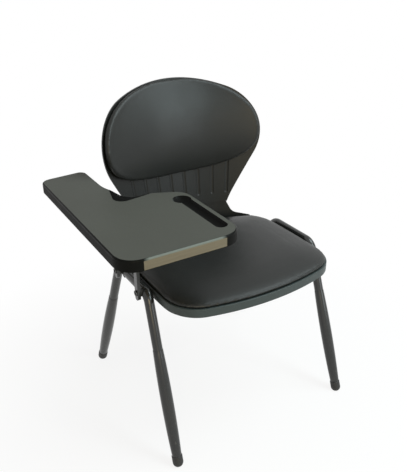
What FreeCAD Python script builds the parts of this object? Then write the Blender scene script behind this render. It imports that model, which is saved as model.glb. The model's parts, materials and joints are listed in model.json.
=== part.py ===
"""Chair with a padded seat and back on bent tube legs, and a writing tablet that tips up.

Millimetres. While it is drawn, x = 0 is the middle plane of the seat, X points to the sitter's
left, Y to the back and Z up from the floor. The finished part is then moved so that its origin is
the middle of its bounding box on the floor.
"""
import FreeCAD
import Part
import math
import os

V = FreeCAD.Vector
X_AXIS = V(1, 0, 0)
Y_AXIS = V(0, 1, 0)
Z_AXIS = V(0, 0, 1)

# Seat shell; the heights of the back and the tablet are counted from the underside of its plate
SEAT_PLATE_Z = 413.0
SEAT_PLATE = 5.0
SEAT_HALF_WIDTH = 235.0
SEAT_FRONT_Y = -243.0
SEAT_RIM = 4.0
SEAT_RIM_DROP = 14.0
SEAT_RIM_RISE = 3.0
SEAT_RIM_ROUND = 1.5
SEAT_RIM_LENGTH = 313.0
SEAT_FRONT_CORNER_INSET = 70.0
SEAT_FRONT_CORNER_DEPTH = 21.0
SEAT_SIDE_INSET = 3.0
SEAT_SIDE_FRONT_DEPTH = 104.0
SEAT_SIDE_REAR_DEPTH = 70.0
SEAT_REAR_INSET = 30.0
SEAT_FRONT_CORNER_X = SEAT_HALF_WIDTH - SEAT_FRONT_CORNER_INSET
SEAT_RIM_END_Y = SEAT_FRONT_Y + SEAT_RIM_LENGTH
SEAT_TOP_Z = SEAT_PLATE_Z + SEAT_PLATE

# Back sheet: a cylinder about an axis that leans back with height
BACK_RADIUS = 400.0
BACK_LEAN = 0.145
BACK_REF_RISE = 237.0
BACK_REF_Y = 225.0
BACK_SHEET = 5.0
BACK_REF_Z = SEAT_PLATE_Z + BACK_REF_RISE
BACK_COS = 1.0 / math.hypot(1.0, BACK_LEAN)

# Upright tongue of the seat shell, behind the back shell
TONGUE_SHEET = 4.5
TONGUE_GAP = 0.2
TONGUE_RISE = 127.0
TONGUE_TOP_HALF = 112.0
TONGUE_TOP_ROUND = 30.0
TONGUE_WAIST_HALF = 157.5
TONGUE_FLARE_RISE = 20.0
TONGUE_FLARE_R = 30.0
TONGUE_FOOT_EDGE = 6.0
TONGUE_TOP_Z = SEAT_PLATE_Z + TONGUE_RISE
TONGUE_FLARE_Z = SEAT_PLATE_Z + TONGUE_FLARE_RISE
TONGUE_FOOT_Z = SEAT_PLATE_Z + SEAT_PLATE / 2.0
TONGUE_INNER_R = BACK_RADIUS + BACK_SHEET + TONGUE_GAP
TONGUE_OUTER_R = TONGUE_INNER_R + TONGUE_SHEET

# Tube frame
TUBE_R = 12.0
TUBE_WALL = 1.5
TUBE_BEND_R = 30.0
RAIL_SEAT_GAP = 1.0
RAIL_ABOVE_PLATE = 4.0
RAIL_X = SEAT_HALF_WIDTH + RAIL_SEAT_GAP + TUBE_R
RAIL_Z = SEAT_PLATE_Z + RAIL_ABOVE_PLATE
FRONT_CORNER_Y = -87.0
REAR_CORNER_Y = 77.0
FOOT_SPLAY = 11.0
FRONT_FOOT_Y = -233.0
REAR_FOOT_Y = 262.0
STUB_LENGTH = 165.0
LEG_START = 140.0
LEG_SLIP = 0.1
LEG_WALL = 1.5
LEG_LIP = 0.5
LEG_TOP_R = TUBE_R + LEG_SLIP + LEG_WALL
LEG_SWELL = 0.9
LEG_BELLY_DROP = 60.0
LEG_FOOT_R = 12.0
FOOT_R = 13.4
FOOT_HEIGHT = 28.0
FOOT_FLOOR = 8.0
FOOT_BALL = 10.0
FOOT_CHAMFER = 1.2
FOOT_SLIP = 0.05

# Screws: play in a clearance hole, and the thin gap where a thread bites
SCREW_GAP = 0.2
SCREW_BITE = 0.03
SEAT_SCREW_R = 3.0
SEAT_SCREW_HEAD_R = 5.5
SEAT_SCREW_HEAD = 4.0
SEAT_SCREW_SHORT = 1.0

# Cross tubes and the tabs that carry the seat
CROSS_R = 10.0
CROSS_WALL = 1.5
CROSS_FROM_FRONT_CORNER = 26.0
CROSS_FROM_REAR_CORNER = 24.0
FRONT_CROSS_Y = FRONT_CORNER_Y + CROSS_FROM_FRONT_CORNER
REAR_CROSS_Y = REAR_CORNER_Y - CROSS_FROM_REAR_CORNER
TAB = 5.0
TAB_SEATING = 2.0
TAB_WIDTH = 30.0
TAB_FROM_SIDE = 85.0
TAB_X = SEAT_HALF_WIDTH - TAB_FROM_SIDE
TAB_EDGE = 9.0
TAB_SCREW_CLEAR = 1.5
TAB_SCREW_OFFSET = CROSS_R + SEAT_SCREW_HEAD_R + TAB_SCREW_CLEAR
CROSS_Z = SEAT_PLATE_Z - TAB + TAB_SEATING - CROSS_R
NOTCH_GAP = 0.8

# Seat board and seat pad; a pad level is a height and how far its outline is drawn in there
BOARD = 6.0
BOARD_INSET = 14.0
PAD_SIDE_INSET = 4.5
PAD_REAR_INSET = 28.0
PAD_GAP = 0.4
PAD_LEVELS = ((0.0, 8.0), (2.6, 3.0), (6.5, 0.0), (10.5, 2.0), (14.0, 7.5),
              (16.8, 15.5), (19.0, 27.0), (21.0, 48.0), (22.4, 85.0), (23.1, 125.0))

# Back shell
SHELL_HALF_WIDTH = 238.0
SHELL_MID_RISE = 272.0
SHELL_RISE = 145.0
SHELL_SHOULDER_INSET = 18.0
SHELL_SHOULDER_RISE = 200.0
SHELL_NECK_HALF = 163.0
SHELL_NECK_RISE = 98.0
SHELL_FOOT_HALF = 142.0
SHELL_FOOT_RISE = 57.0
SHELL_MID_Z = SEAT_PLATE_Z + SHELL_MID_RISE
SHELL_SHOULDER = (SHELL_HALF_WIDTH - SHELL_SHOULDER_INSET, SEAT_PLATE_Z + SHELL_SHOULDER_RISE)
SHELL_NECK = (SHELL_NECK_HALF, SEAT_PLATE_Z + SHELL_NECK_RISE)
SHELL_FOOT = (SHELL_FOOT_HALF, SEAT_PLATE_Z + SHELL_FOOT_RISE)
FLUTE_FIRST_X = 20.0
FLUTE_PITCH = 40.0
FLUTES_A_SIDE = 4
FLUTE_FAN = 1.06
FLUTE_R = 8.0
FLUTE_DEPTH = 1.9
FLUTE_BOTTOM_RISE = 89.0
FLUTE_LENGTH = 88.0
FLUTE_BOTTOM_Z = SEAT_PLATE_Z + FLUTE_BOTTOM_RISE
FLUTE_TOP_Z = FLUTE_BOTTOM_Z + FLUTE_LENGTH

# Back pad and its board
BACK_PAD_SIDE_MARGIN = 7.0
BACK_PAD_TOP_MARGIN = 2.0
BACK_PAD_RAISED = 5.0
BACK_PAD_HALF_WIDTH = SHELL_HALF_WIDTH - BACK_PAD_SIDE_MARGIN
BACK_PAD_MID_Z = SHELL_MID_Z + BACK_PAD_RAISED
BACK_PAD_RISE = SHELL_MID_Z + SHELL_RISE - BACK_PAD_TOP_MARGIN - BACK_PAD_MID_Z
BACK_PAD_FALL = 116.0
BACK_PAD_POWER_UP = 2.2
BACK_PAD_POWER_DOWN = 2.5
BACK_PAD_GAP = 0.3
BACK_PAD_EDGE = 17.0
BACK_PAD_CROWN = 30.0
BACK_PAD_DRAW_REAR = 3.0
BACK_PAD_DRAW_FRONT = 6.0
BACK_PAD_THIN = 0.8
BACK_PAD_SLICES = 21
BACK_PAD_REACH = 82.0
BACK_BOARD = 4.0
BACK_BOARD_INSET = 30.0

# Back straps with their screws, and the screws of the neck
STRAP = 5.0
STRAP_WIDTH = 30.0
STRAP_X = 70.0
STRAP_BEHIND_TONGUE = 0.3
STRAP_OFFSET = BACK_SHEET + TONGUE_GAP + TONGUE_SHEET + STRAP_BEHIND_TONGUE
STRAP_AHEAD_OF_TUBE = 17.0
STRAP_RISE = 227.0
STRAP_BEND_R = 20.0
STRAP_SEATING = 1.0
STRAP_END_ROUND = 8.0
STRAP_TOP_Z = SEAT_PLATE_Z + STRAP_RISE
STRAP_SCREW_FROM_TOP = 15.0
STRAP_SCREW_PITCH = 45.0
STRAP_SCREW_HIGH_Z = STRAP_TOP_Z - STRAP_SCREW_FROM_TOP
STRAP_SCREW_ZS = (STRAP_SCREW_HIGH_Z - STRAP_SCREW_PITCH, STRAP_SCREW_HIGH_Z)
STRAP_SCREW_R = 2.5
STRAP_SCREW_HEAD_R = 6.0
STRAP_SCREW_HEAD = 3.0
BOSS_R = 9.0
BOSS_SKIN = 2.0
NECK_SCREW_INNER_X = 40.0
NECK_SCREW_OUTER_X = 80.0
NECK_SCREW_ABOVE_FOOT = 16.0
NECK_SCREW_PITCH = 34.0
NECK_SCREW_XS = (NECK_SCREW_INNER_X, NECK_SCREW_OUTER_X, -NECK_SCREW_INNER_X, -NECK_SCREW_OUTER_X)
NECK_SCREW_LOW_Z = SEAT_PLATE_Z + SHELL_FOOT_RISE + NECK_SCREW_ABOVE_FOOT
NECK_SCREW_ZS = (NECK_SCREW_LOW_Z, NECK_SCREW_LOW_Z + NECK_SCREW_PITCH)
NECK_SCREW_R = 2.0
NECK_SCREW_HEAD_R = 4.5
NECK_SCREW_HEAD = 2.4
NECK_SCREW_SKIN = 1.0

# Arm brackets, on the sitter's right
FRONT_ARM_Y = -71.0
REAR_ARM_Y = 51.0
ARM_YS = {"front": FRONT_ARM_Y, "rear": REAR_ARM_Y}
ARM_WIDTH = 16.0
ARM_BAR = 8.0
ARM_BEND_R = 14.0
ARM_TOE_DROP = 12.0
ARM_SADDLE = 2.0
ARM_SADDLE_HALF = 8.0
ARM_BOLT_R = 4.0
ARM_BOLT_HEAD_R = 7.0
ARM_BOLT_HEAD = 3.0
ARM_NUT_R = 5.0
ARM_NUT_LENGTH = 10.0
ARM_NUT_GAP = 0.3
ARM_INNER_X = -RAIL_X - TUBE_R - ARM_SADDLE
ARM_OUTER_X = ARM_INNER_X - ARM_BAR

# Tablet; its waist is the inner side of the armrest behind the writing surface
TABLET_RISE = 187.0
TABLET = 25.0
TABLET_ROUND = 3.5
TABLET_OVERHANG = 112.0
TABLET_WIDTH = 275.0
ARMREST_WIDTH = 118.0
TABLET_Z = SEAT_PLATE_Z + TABLET_RISE
TABLET_OUTER_X = ARM_OUTER_X - TABLET_OVERHANG
TABLET_INNER_X = TABLET_OUTER_X + TABLET_WIDTH
TABLET_WAIST_X = TABLET_OUTER_X + ARMREST_WIDTH
TABLET_FRONT_Y = -277.0
TABLET_OUTER_REAR_Y = 224.0
TABLET_WAIST_REAR_Y = 235.0
TABLET_NOTCH_Y = 44.6
TABLET_INNER_REAR_Y = -26.0
TABLET_CORNER_R = 45.0
TABLET_OUTER_REAR_R = 26.0
TABLET_WAIST_REAR_R = 18.0
TABLET_NOTCH_R = 120.0
TABLET_TOP_Z = TABLET_Z + TABLET

# Pencil groove with a round dish at its rear end
GROOVE_HALF = 14.7
GROOVE_DEPTH = 11.0
GROOVE_RIM = 13.0
GROOVE_FRONT_EDGE = 36.0
GROOVE_LENGTH = 190.0
DISH_R = 22.0
DISH_DEPTH = 12.0
DISH_SHIFT = -4.0

# Elbow scoop: a slope down to the inner edge, from a brim that starts ahead of and behind the notch
SCOOP_DEPTH = 12.0
SCOOP_RUN = 36.0
SCOOP_BRIM = 18.0
SCOOP_REAR = 55.0
SCOOP_FRONT = 58.0
SCOOP_WIDTH = 104.0
SCOOP_RISE = 21.0
SCOOP_OVER = 26.0
SCOOP_ROUND = 24.0
SCOOP_SMALL_ROUND = 4.0

# Board let into the underside of the tablet, and the strip let into its front edge
TABLET_SKIN = 7.0
CORE = TABLET - TABLET_SKIN
CORE_EDGE = 10.0
CORE_INNER_EDGE = 58.0
CORE_FRONT_EDGE = 15.0
CORE_NOTCH_EDGE = 80.0
CORE_WAIST_EDGE = 28.0
CORE_REAR_EDGE = 24.0
CORE_ROUND = 8.0
CORE_GAP = 0.2
STRIP = 1.2
STRIP_EDGE = 1.0
STRIP_HEIGHT = TABLET - TABLET_ROUND - 2.0 * STRIP_EDGE
STRIP_GAP = 0.05

# Hinge of the tablet
EYE_R = 7.5
EYE_GAP = 0.5
ROD_R = 4.0
ROD_GAP = 0.04
LUG_PLATE = 3.0
HINGE_FROM_EDGE = 30.0
HINGE_X = TABLET_OUTER_X + HINGE_FROM_EDGE
HINGE_Z = TABLET_Z - LUG_PLATE - EYE_GAP - EYE_R
LUG_EAR = 4.0
LUG_EAR_R = 8.0
LUG_SIDE_GAP = 0.3
LUG_SIDE = ARM_WIDTH / 2.0 + LUG_SIDE_GAP + LUG_EAR
LUG_LIP = 3.0
LUG_LIP_GAP = 0.6
LUG_LIP_X = EYE_R + LUG_LIP_GAP
FLIP_ANGLE = 95.0
FLIP_STOP_GAP = 0.15
LUG_SCREW_R = 2.0
LUG_SCREW_HEAD_R = 3.5
LUG_SCREW_HEAD = 2.2
LUG_SCREW_BITE = 12.0
LUG_SCREW_CLEAR = 1.5
LUG_SCREW_INNER = LUG_EAR_R + LUG_SCREW_CLEAR + LUG_SCREW_HEAD_R
LUG_SCREW_OUTER = LUG_LIP_X + LUG_LIP + LUG_SCREW_CLEAR + LUG_SCREW_HEAD_R
LUG_MARGIN = 5.5
LUG_SHOULDER = 1.7
LUG_HALF = LUG_SIDE + LUG_SHOULDER
LUG_SCREW_SPREAD = LUG_HALF - LUG_MARGIN
CAP_R = 6.5
CAP_LENGTH = 6.0
CAP_END = 1.2
CAP_GAP = 0.5
BUMPER_R = 7.0
BUMPER_FROM_ARM = 20.0
BUMPER_STEM_R = 3.0
BUMPER_STEM = 5.0
BUMPER_REST_GAP = 0.3

# Work sizes: a reach past every piece, where the back's cutting tools start, and a tolerance
FAR = 900.0
NEAR_Y = 40.0
TOUCH = 0.01


def line(start, end):
    return Part.LineSegment(start, end).toShape()


def arc(start, middle, end):
    return Part.Arc(start, middle, end).toShape()


def cylinder(start, direction, radius, length):
    return Part.makeCylinder(radius, length, start, direction)


def box(low, high):
    size = high - low
    return Part.makeBox(size.x, size.y, size.z, low)


def prism(edges, direction):
    return Part.Face(Part.Wire(edges)).extrude(direction)


def joined(shapes):
    whole = shapes[0].fuse(shapes[1:]) if len(shapes) > 1 else shapes[0]
    return whole.removeSplitter()


def capsule(start, end, radius):
    """Round-ended rod between two points."""
    run = end - start
    body = cylinder(start, run, radius, run.Length)
    return body.fuse([Part.makeSphere(radius, start), Part.makeSphere(radius, end)])


def corner(before, point, after, radius):
    """Start, middle and end of the arc that rounds one corner of a path."""
    back = (before - point).normalize()
    ahead = (after - point).normalize()
    half = back.getAngle(ahead) / 2.0
    middle = (back + ahead).normalize()
    reach = radius / math.tan(half)
    return (point + back * reach,
            point + middle * (radius / math.sin(half) - radius),
            point + ahead * reach)


def rounded(corners):
    """Closed outline of straight runs from (point, radius) corners; radius 0 leaves one sharp."""
    edges = []
    ends = []
    for index, (point, radius) in enumerate(corners):
        before = corners[index - 1][0]
        after = corners[(index + 1) % len(corners)][0]
        if radius > 0:
            ends.append(corner(before, point, after, radius))
        else:
            ends.append((point, point, point))
    for index, (start, middle, end) in enumerate(ends):
        if start.distanceToPoint(end) > 0:
            edges.append(arc(start, middle, end))
        edges.append(line(end, ends[(index + 1) % len(ends)][0]))
    return edges


def bent_rod(points, bend, radius):
    """Solid round rod along straight runs joined by bends of one centre-line radius."""
    edges = []
    start = points[0]
    for before, point, after in zip(points, points[1:], points[2:]):
        first, middle, last = corner(before, point, after, bend)
        edges += [line(start, first), arc(first, middle, last)]
        start = last
    edges.append(line(start, points[-1]))
    ring = Part.Wire(Part.makeCircle(radius, points[0], points[1] - points[0]))
    return Part.Wire(edges).makePipe(Part.Face(ring))


def tangent_arc(start, heading, end):
    """Arc (start, middle, end) in X and a second axis that leaves at a heading, and its last heading.

    Points are pairs; headings are angles from X towards the second axis.
    """
    run = (end[0] - start[0], end[1] - start[1])
    chord = math.atan2(run[1], run[0])
    bulge = math.hypot(*run) / 2.0 * math.tan((heading - chord) / 2.0)
    middle = ((start[0] + end[0]) / 2.0 - bulge * math.sin(chord),
              (start[1] + end[1]) / 2.0 + bulge * math.cos(chord))
    return (start, middle, end), 2.0 * chord - heading


def two_arcs(start, heading, end, last_heading):
    """Two arcs that meet smoothly, leave the start at one heading and reach the end at another."""
    leave = (math.cos(heading), math.sin(heading))
    arrive = (math.cos(last_heading), math.sin(last_heading))
    run = (end[0] - start[0], end[1] - start[1])
    along = run[0] * (leave[0] + arrive[0]) + run[1] * (leave[1] + arrive[1])
    bend = 2.0 * (1.0 - math.cos(last_heading - heading))
    reach = (math.sqrt(along ** 2 + bend * (run[0] ** 2 + run[1] ** 2)) - along) / bend
    meeting = tuple((start[i] + end[i] + reach * (leave[i] - arrive[i])) / 2.0 for i in (0, 1))
    first, heading = tangent_arc(start, heading, meeting)
    second, _ = tangent_arc(meeting, heading, end)
    return [first, second]


def mirrored_arc(points):
    """The same arc on the other side of x = 0, drawn the other way."""
    return tuple((-x, other) for x, other in reversed(points))


def screw(seat, direction, head_r, head, shank_r, shank):
    """Button-head screw with a hexagon socket; its head sits on the seat point, against direction."""
    way = V(direction).normalize()
    body = cylinder(seat - way * head, way, head_r, head)
    body = body.fuse(cylinder(seat, way, shank_r, shank))
    socket = [V(shank_r * math.cos(math.radians(a)), shank_r * math.sin(math.radians(a)), 0)
              for a in range(0, 360, 60)]
    tool = prism([line(p, q) for p, q in zip(socket, socket[1:] + socket[:1])], Z_AXIS * (head / 2.0))
    tool.Placement = FreeCAD.Placement(seat - way * head, FreeCAD.Rotation(Z_AXIS, way))
    return body.cut(tool)


def back_y(x, z, radius):
    """Y of the leaning cylinder of a given radius at x and height z."""
    middle = BACK_REF_Y + BACK_LEAN * (z - BACK_REF_Z) - BACK_RADIUS / BACK_COS
    return middle + math.sqrt(radius * radius - x * x) / BACK_COS


def back_cylinder(radius):
    base = V(0, back_y(0, 0, BACK_RADIUS) - BACK_RADIUS / BACK_COS, 0)
    return cylinder(base, V(0, BACK_LEAN, 1), radius, 2.0 * FAR)


def back_sheet(inner, outer, edges):
    """Part of the leaning cylinder wall behind an outline drawn in the XZ plane."""
    tool = prism(edges, Y_AXIS * FAR)
    tool.translate(V(0, NEAR_Y, 0))
    return back_cylinder(outer).common(tool).cut(back_cylinder(inner))


def back_normal():
    """Forward normal of the back in the middle plane."""
    return V(0, -1, BACK_LEAN).normalize()


def upright(points):
    """Edges of arcs or lines given as pairs or triples of (x, z) points."""
    made = []
    for item in points:
        spots = [V(x, 0, z) for x, z in item]
        made.append(arc(*spots) if len(spots) == 3 else line(*spots))
    return made


def seat_outline(z, inset=0.0, rear=0.0):
    """Ten arcs round the seat at height z, drawn in by an inset and by another at the rear."""
    rear_x = SEAT_HALF_WIDTH - SEAT_REAR_INSET
    rear_y = back_y(rear_x, SEAT_PLATE_Z, TONGUE_OUTER_R)
    last_y = back_y(0, SEAT_PLATE_Z, TONGUE_OUTER_R)
    side_x = SEAT_HALF_WIDTH - SEAT_SIDE_INSET
    side_start_y = SEAT_FRONT_Y + SEAT_SIDE_FRONT_DEPTH
    side_end_y = rear_y - SEAT_SIDE_REAR_DEPTH
    width = (SEAT_HALF_WIDTH - inset) / SEAT_HALF_WIDTH
    depth = (last_y - rear - SEAT_FRONT_Y - inset) / (last_y - SEAT_FRONT_Y)

    def drawn_in(x, y):
        return x * width, SEAT_FRONT_Y + inset + (y - SEAT_FRONT_Y) * depth

    middle = drawn_in(0, SEAT_FRONT_Y)
    first = drawn_in(SEAT_FRONT_CORNER_X, SEAT_FRONT_Y + SEAT_FRONT_CORNER_DEPTH)
    heading = 2.0 * math.atan2(first[1] - middle[1], first[0])
    side_start = drawn_in(side_x, side_start_y)
    side_end = drawn_in(side_x, side_end_y)
    side_lean = 2.0 * math.atan2(SEAT_SIDE_INSET * width, (side_end[1] - side_start[1]) / 2.0)
    side_heading = math.pi / 2.0 - side_lean
    half = two_arcs(first, heading, side_start, side_heading)
    side, heading = tangent_arc(side_start, side_heading, side_end)
    rear_corner, _ = tangent_arc(side_end, heading, drawn_in(rear_x, rear_y))
    half += [side, rear_corner]
    front = ((-first[0], first[1]), middle, first)
    start = rear_corner[-1]
    last = (start, drawn_in(0, last_y), (-start[0], start[1]))
    around = [front] + half + [last] + [mirrored_arc(points) for points in reversed(half)]
    return [arc(*[V(x, y, z) for x, y in points]) for points in around]


def leg_line(side, corner_y, foot_y):
    """Rail corner, direction and length of one leg's centre line down to the floor."""
    top = V(side * RAIL_X, corner_y, RAIL_Z)
    foot = V(side * (RAIL_X + FOOT_SPLAY), foot_y, 0)
    run = foot - top
    return top, V(run).normalize(), run.Length


def turned(edges, top, direction):
    """Solid turned from a profile of radius (X) and distance down the axis (Z)."""
    solid = Part.Face(Part.Wire(edges)).revolve(V(0, 0, 0), Z_AXIS, 360)
    solid.Placement = FreeCAD.Placement(top, FreeCAD.Rotation(Z_AXIS, direction))
    return solid


def polyline(points):
    spots = [V(r, 0, t) for r, t in points]
    return [line(p, q) for p, q in zip(spots, spots[1:])]


def side_rail(side, radius):
    """Bent rod of one side: front stub, rail and rear stub."""
    front, front_way, _ = leg_line(side, FRONT_CORNER_Y, FRONT_FOOT_Y)
    rear, rear_way, _ = leg_line(side, REAR_CORNER_Y, REAR_FOOT_Y)
    ends = (front + front_way * STUB_LENGTH, rear + rear_way * STUB_LENGTH)
    return bent_rod([ends[0], front, rear, ends[1]], TUBE_BEND_R, radius)


def arm_bolt_point(y):
    """Where an arm bolt's axis crosses the outermost line of the right rail."""
    return V(-RAIL_X - TUBE_R, y, RAIL_Z)


def make_rails(parts, rail_rods):
    for name, side in (("left", 1), ("right", -1)):
        tube = rail_rods[side].cut(side_rail(side, TUBE_R - TUBE_WALL))
        if side < 0:
            for y in ARM_YS.values():
                outside = V(ARM_INNER_X, y, RAIL_Z)
                tube = tube.cut(cylinder(outside, X_AXIS, ARM_NUT_R + SCREW_BITE, TUBE_R))
        parts[name + "_side_rail"] = tube


def make_leg(top, direction, length):
    """Tapered leg tube, thin at its lip, that slips over the rail's stub and into the foot cap."""
    bore = TUBE_R + LEG_SLIP
    end = length - FOOT_FLOOR
    belly = LEG_START + LEG_BELLY_DROP
    profile = Part.BSplineCurve()
    profile.interpolate([V(bore + LEG_LIP, 0, LEG_START), V(LEG_TOP_R + LEG_SWELL, 0, belly),
                         V(LEG_FOOT_R, 0, length - FOOT_HEIGHT)])
    inside = polyline([(LEG_FOOT_R, length - FOOT_HEIGHT), (LEG_FOOT_R, end),
                       (LEG_FOOT_R - LEG_WALL, end), (LEG_FOOT_R - LEG_WALL, length - FOOT_HEIGHT),
                       (LEG_TOP_R + LEG_SWELL - LEG_WALL, belly), (bore, STUB_LENGTH),
                       (bore, LEG_START), (bore + LEG_LIP, LEG_START)])
    return turned([profile.toShape()] + inside, top, direction)


def make_foot(top, direction, length):
    """Ball-ended cap on the end of a leg, cut flat on the floor."""
    bore = LEG_FOOT_R + FOOT_SLIP
    rim = length - FOOT_HEIGHT
    ball = length - FOOT_BALL
    tip = ball + FOOT_R
    slant = FOOT_R * math.sqrt(0.5)
    inside = polyline([(0, tip), (0, length - FOOT_FLOOR), (bore, length - FOOT_FLOOR), (bore, rim),
                       (FOOT_R - FOOT_CHAMFER, rim), (FOOT_R, rim + FOOT_CHAMFER), (FOOT_R, ball)])
    ball_arc = arc(V(FOOT_R, 0, ball), V(slant, 0, ball + slant), V(0, 0, tip))
    cap = turned(inside + [ball_arc], top, direction)
    return cap.cut(box(V(-FAR, -FAR, -FAR), V(FAR, FAR, 0)))


def make_legs(parts):
    ends = {"front": (FRONT_CORNER_Y, FRONT_FOOT_Y), "rear": (REAR_CORNER_Y, REAR_FOOT_Y)}
    for end, (corner_y, foot_y) in ends.items():
        for name, side in (("left", 1), ("right", -1)):
            axis = leg_line(side, corner_y, foot_y)
            parts[f"{end}_{name}_leg"] = make_leg(*axis)
            parts[f"{end}_{name}_foot"] = make_foot(*axis)


def seat_screw_points():
    """Seat screws, on the underside of the tabs: end, side and point."""
    for end, y, inward in (("front", FRONT_CROSS_Y, 1), ("rear", REAR_CROSS_Y, -1)):
        for name, side in (("left", 1), ("right", -1)):
            yield end, name, V(side * TAB_X, y + inward * TAB_SCREW_OFFSET, SEAT_PLATE_Z - TAB)


def cross_rod(y, radius):
    return cylinder(V(-RAIL_X, y, CROSS_Z), X_AXIS, radius, 2.0 * RAIL_X)


def make_cross_tubes(parts, rail_rods):
    for end, y in (("front", FRONT_CROSS_Y), ("rear", REAR_CROSS_Y)):
        tube = cross_rod(y, CROSS_R).cut(cross_rod(y, CROSS_R - CROSS_WALL))
        parts[end + "_cross_tube"] = tube.cut([rail_rods[1], rail_rods[-1]])
    for end, name, point in seat_screw_points():
        y, inward = (FRONT_CROSS_Y, 1) if end == "front" else (REAR_CROSS_Y, -1)
        edges = sorted((y - inward * TAB_EDGE, point.y + inward * TAB_EDGE))
        tab = box(V(point.x - TAB_WIDTH / 2.0, edges[0], point.z),
                  V(point.x + TAB_WIDTH / 2.0, edges[1], SEAT_PLATE_Z))
        hole = cylinder(point, Z_AXIS, SEAT_SCREW_R + SCREW_GAP, TAB)
        parts[f"{end}_{name}_seat_tab"] = tab.cut([cross_rod(y, CROSS_R), hole])


def tongue_outline():
    """Front view of the tongue: sloping foot, flare up to the waist and rounded top."""
    foot = SEAT_HALF_WIDTH - SEAT_REAR_INSET
    flare_r = min(TONGUE_FLARE_R, foot - TONGUE_WAIST_HALF)
    half = [(foot, TONGUE_FOOT_Z, 0), (foot, TONGUE_FOOT_Z + TONGUE_FOOT_EDGE, 0),
            (TONGUE_WAIST_HALF, TONGUE_FLARE_Z, flare_r), (TONGUE_TOP_HALF, TONGUE_TOP_Z, TONGUE_TOP_ROUND)]
    around = half + [(-x, z, radius) for x, z, radius in reversed(half)]
    return rounded([(V(x, 0, z), radius) for x, z, radius in around])


def make_seat_shell(parts):
    low = SEAT_PLATE_Z - SEAT_RIM_DROP
    high = SEAT_TOP_Z + SEAT_RIM_RISE
    overrun = -2.0 * SEAT_RIM
    body = prism(seat_outline(low, rear=overrun), Z_AXIS * (high - low))
    rims = [edge for edge in body.Edges if edge.BoundBox.ZLength < TOUCH]
    body = body.makeFillet(SEAT_RIM_ROUND, rims).common(back_cylinder(TONGUE_OUTER_R))
    under = prism(seat_outline(low, SEAT_RIM, 2.0 * SEAT_RIM), Z_AXIS * SEAT_RIM_DROP)
    over = prism(seat_outline(SEAT_TOP_Z, SEAT_RIM, 2.0 * overrun), Z_AXIS * FAR)
    rear = box(V(-FAR, SEAT_RIM_END_Y, SEAT_TOP_Z), V(FAR, FAR, FAR))
    body = body.cut([under, over, rear])
    body = body.fuse(back_sheet(TONGUE_INNER_R, TONGUE_OUTER_R, tongue_outline())).removeSplitter()
    cuts = [cross_rod(y, CROSS_R + NOTCH_GAP) for y in (FRONT_CROSS_Y, REAR_CROSS_Y)]
    for _, _, point in seat_screw_points():
        cuts.append(cylinder(point, Z_AXIS, SEAT_SCREW_R + SCREW_GAP, TAB + SEAT_PLATE))
    for seat, way in neck_screw_axes():
        cuts.append(cylinder(seat, way, NECK_SCREW_R + SCREW_GAP, TONGUE_SHEET + TONGUE_GAP))
    parts["seat_shell"] = body.cut(cuts)


def seat_pad_outline(level, inset):
    return seat_outline(SEAT_TOP_Z + level, PAD_SIDE_INSET + inset, PAD_REAR_INSET + inset)


def make_seat_cushion(parts):
    board = prism(seat_pad_outline(0.0, BOARD_INSET), Z_AXIS * BOARD)
    holes = []
    screws = []
    reach = TAB + SEAT_PLATE + BOARD - SEAT_SCREW_SHORT
    for _, _, point in seat_screw_points():
        holes.append(cylinder(point, Z_AXIS, SEAT_SCREW_R + SCREW_BITE, reach))
        screws.append(screw(point, Z_AXIS, SEAT_SCREW_HEAD_R, SEAT_SCREW_HEAD, SEAT_SCREW_R, reach))
    parts["seat_board"] = board.cut(holes)
    parts["seat_screws"] = Part.makeCompound(screws)
    levels = [Part.Wire(seat_pad_outline(PAD_GAP + level, inset)) for level, inset in PAD_LEVELS]
    pocket = prism(seat_pad_outline(0.0, BOARD_INSET - PAD_GAP), Z_AXIS * (BOARD + PAD_GAP))
    parts["seat_pad"] = Part.makeLoft(levels, True, True).cut(pocket)


def back_outline():
    """Front view of the back shell: an arch of four arcs above, shoulders drawn in to a neck below."""
    start = (SHELL_HALF_WIDTH, SHELL_MID_Z)
    arch = two_arcs(start, math.pi / 2.0, (0.0, SHELL_MID_Z + SHELL_RISE), math.pi)
    half = []
    heading = -math.pi / 2.0
    for stop in (SHELL_SHOULDER, SHELL_NECK, SHELL_FOOT):
        points, heading = tangent_arc(start, heading, stop)
        half.append(points)
        start = stop
    bottom = (start, (-start[0], start[1]))
    lower = half + [bottom] + [mirrored_arc(item) for item in reversed(half)]
    upper = [tuple((-x, z) for x, z in item) for item in arch]
    return upright(lower + upper + [tuple(reversed(item)) for item in reversed(arch)])


def half_ellipse(mid_z, half_width, rise, start):
    """Upper (start 0) or lower (start pi) half of an ellipse in the XZ plane, major axis along X."""
    curve = Part.Ellipse(V(half_width, 0, mid_z), V(0, 0, mid_z + rise), V(0, 0, mid_z))
    return Part.Arc(curve, start, start + math.pi).toShape()


def strap_point(side, z):
    """Point on the front face of a back strap, on its middle line."""
    return V(side * STRAP_X, back_y(0, z, BACK_RADIUS) + STRAP_OFFSET, z)


def neck_screw_axes():
    """Seats on the rear of the tongue, and forward directions, of the screws through the neck."""
    axis = V(0, BACK_LEAN, 1).normalize()
    for z in NECK_SCREW_ZS:
        centre = back_y(0, z, BACK_RADIUS) - BACK_RADIUS / BACK_COS
        for x in NECK_SCREW_XS:
            seat = V(x, back_y(x, z, TONGUE_OUTER_R), z)
            inward = V(0, centre, z) - seat
            yield seat, (inward - axis * inward.dot(axis)).normalize()


def flute(x):
    """Shallow round groove up the front of the neck."""
    spots = []
    for px, z in ((x, FLUTE_BOTTOM_Z), (x * FLUTE_FAN, FLUTE_TOP_Z)):
        spots.append(V(px, back_y(px, z, BACK_RADIUS) - (FLUTE_R - FLUTE_DEPTH), z))
    return capsule(spots[0], spots[1], FLUTE_R)


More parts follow.
